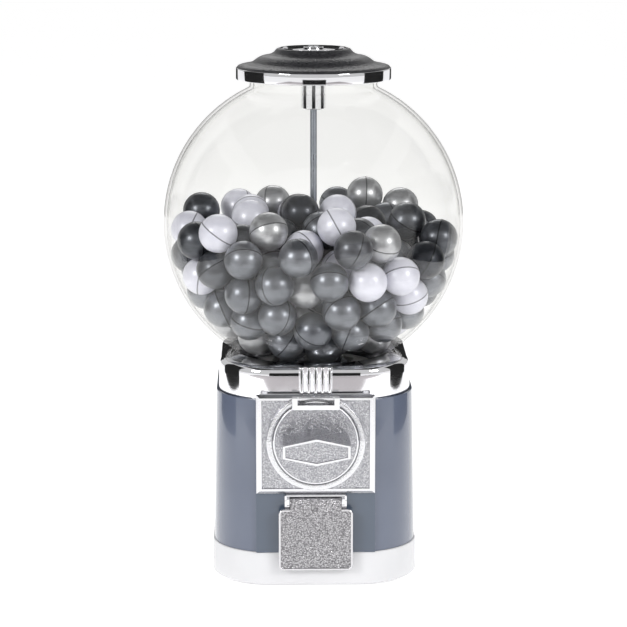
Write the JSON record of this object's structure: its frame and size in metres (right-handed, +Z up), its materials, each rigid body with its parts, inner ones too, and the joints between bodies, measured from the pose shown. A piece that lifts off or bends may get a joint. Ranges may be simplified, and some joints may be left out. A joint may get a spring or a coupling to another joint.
{
  "type": "gumball machine",
  "caption": "Counter-top gumball machine: clear globe of plastic balls on a painted body, coin mechanism with a turning handle, hinged flap and a lift-off locking lid.",
  "frame": {"origin": "on the surface it stands on, under the centre rod", "axes": "+Z up; -Y is the front with the coin mechanism and flap; +X to the right seen from the front"},
  "size_m": [0.2519, 0.252, 0.44],
  "materials": {
    "skirt_white": "glossy white moulded plastic",
    "rubber": "matt black rubber",
    "zinc": "zinc-plated steel",
    "rod_steel": "bright drawn steel",
    "body_paint": "glossy grey-blue enamel",
    "panel_paint": "glossy grey-blue enamel, a shade darker",
    "chrome": "polished chrome plate",
    "black_plastic": "black moulded plastic",
    "wheel_plastic": "natural moulded plastic",
    "cast_silver": "die-cast, fine hammered texture with polished edges",
    "shaft_steel": "turned steel",
    "brass": "turned brass",
    "chute_steel": "folded sheet steel",
    "clear_globe": "clear moulded polycarbonate",
    "lid_black": "black hammered enamel",
    "ball_charcoal": "pearl plastic",
    "ball_slate": "pearl plastic",
    "ball_grey": "pearl plastic",
    "ball_silver": "pearl plastic",
    "ball_white": "pearl plastic"
  },
  "bodies": {
    "cabinet": {"base_tray": "skirt_white", "rubber_feet": "rubber", "rod_washer": "zinc", "rod_nut": "zinc", "centre_rod": "rod_steel", "body_shell": "body_paint", "front_panel": "panel_paint", "globe_housing": "chrome", "rib_trim": "chrome", "hopper_bowl": "black_plastic", "hopper_screws": "zinc", "dispense_guard": "zinc", "faceplate": "cast_silver", "mouth_lip": "chrome", "coin_slot": "cast_silver", "pawl_pin": "shaft_steel", "pawl_spring": "shaft_steel", "mechanism_case": "cast_silver", "mechanism_screws": "zinc", "shaft_bush": "brass", "ball_chute": "chute_steel", "mouth_frame": "chrome", "flap_pin": "shaft_steel", "coin_ramp": "chute_steel", "coin_box": "black_plastic", "globe": "clear_globe", "globe_gasket": "rubber", "balls_charcoal": "ball_charcoal", "balls_slate": "ball_slate", "balls_grey": "ball_grey", "balls_silver": "ball_silver", "balls_white": "ball_white"},
    "lid": {"lid_cover": "lid_black", "lid_band": "chrome", "lid_liner": "zinc", "lid_seal": "rubber", "lid_badge": "chrome", "lock_housing": "chrome", "lock_collar": "black_plastic", "lock_nut": "zinc"},
    "lock": {"lock_barrel": "shaft_steel"},
    "handle": {"turn_handle": "cast_silver", "handle_shaft": "shaft_steel", "coin_wheel": "zinc", "ratchet_wheel": "zinc", "drive_pinion": "black_plastic"},
    "wheel": {"dispensing_wheel": "wheel_plastic", "crown_gear": "wheel_plastic", "pocket_balls": "ball_grey"},
    "flap": {"flap_door": "cast_silver"},
    "pawl": {"ratchet_pawl": "brass"}
  },
  "joints": [
    {"name": "lid_lift", "type": "slide", "parent": "cabinet", "child": "lid", "axis": [0, 0, 1], "range_m": [0, 0.06]},
    {"name": "lock_turn", "type": "hinge", "parent": "lid", "child": "lock", "pos_m": [0, 0, 0.432], "axis": [0, 0, 1], "range_deg": [0, 90]},
    {"name": "handle_turn", "type": "hinge", "parent": "cabinet", "child": "handle", "pos_m": [0, -0.09, 0.1245], "axis": [0, 1, 0], "continuous": true},
    {"name": "wheel_turn", "type": "hinge", "parent": "cabinet", "child": "wheel", "pos_m": [0, 0, 0.155], "axis": [0, 0, 1], "continuous": true},
    {"name": "flap_swing", "type": "hinge", "parent": "cabinet", "child": "flap", "pos_m": [0, -0.0896, 0.0745], "axis": [-1, 0, 0], "range_deg": [0, 80]},
    {"name": "pawl_swing", "type": "hinge", "parent": "cabinet", "child": "pawl", "pos_m": [0.0165, -0.07, 0.1484], "axis": [0, -1, 0], "range_deg": [0, 8], "stiffness_Nm_per_rad": 0.01, "springref_deg": -5.73}
  ],
  "couplings": [
    {"joint": "wheel_turn", "follows": "handle_turn", "ratio": 0.2}
  ]
}
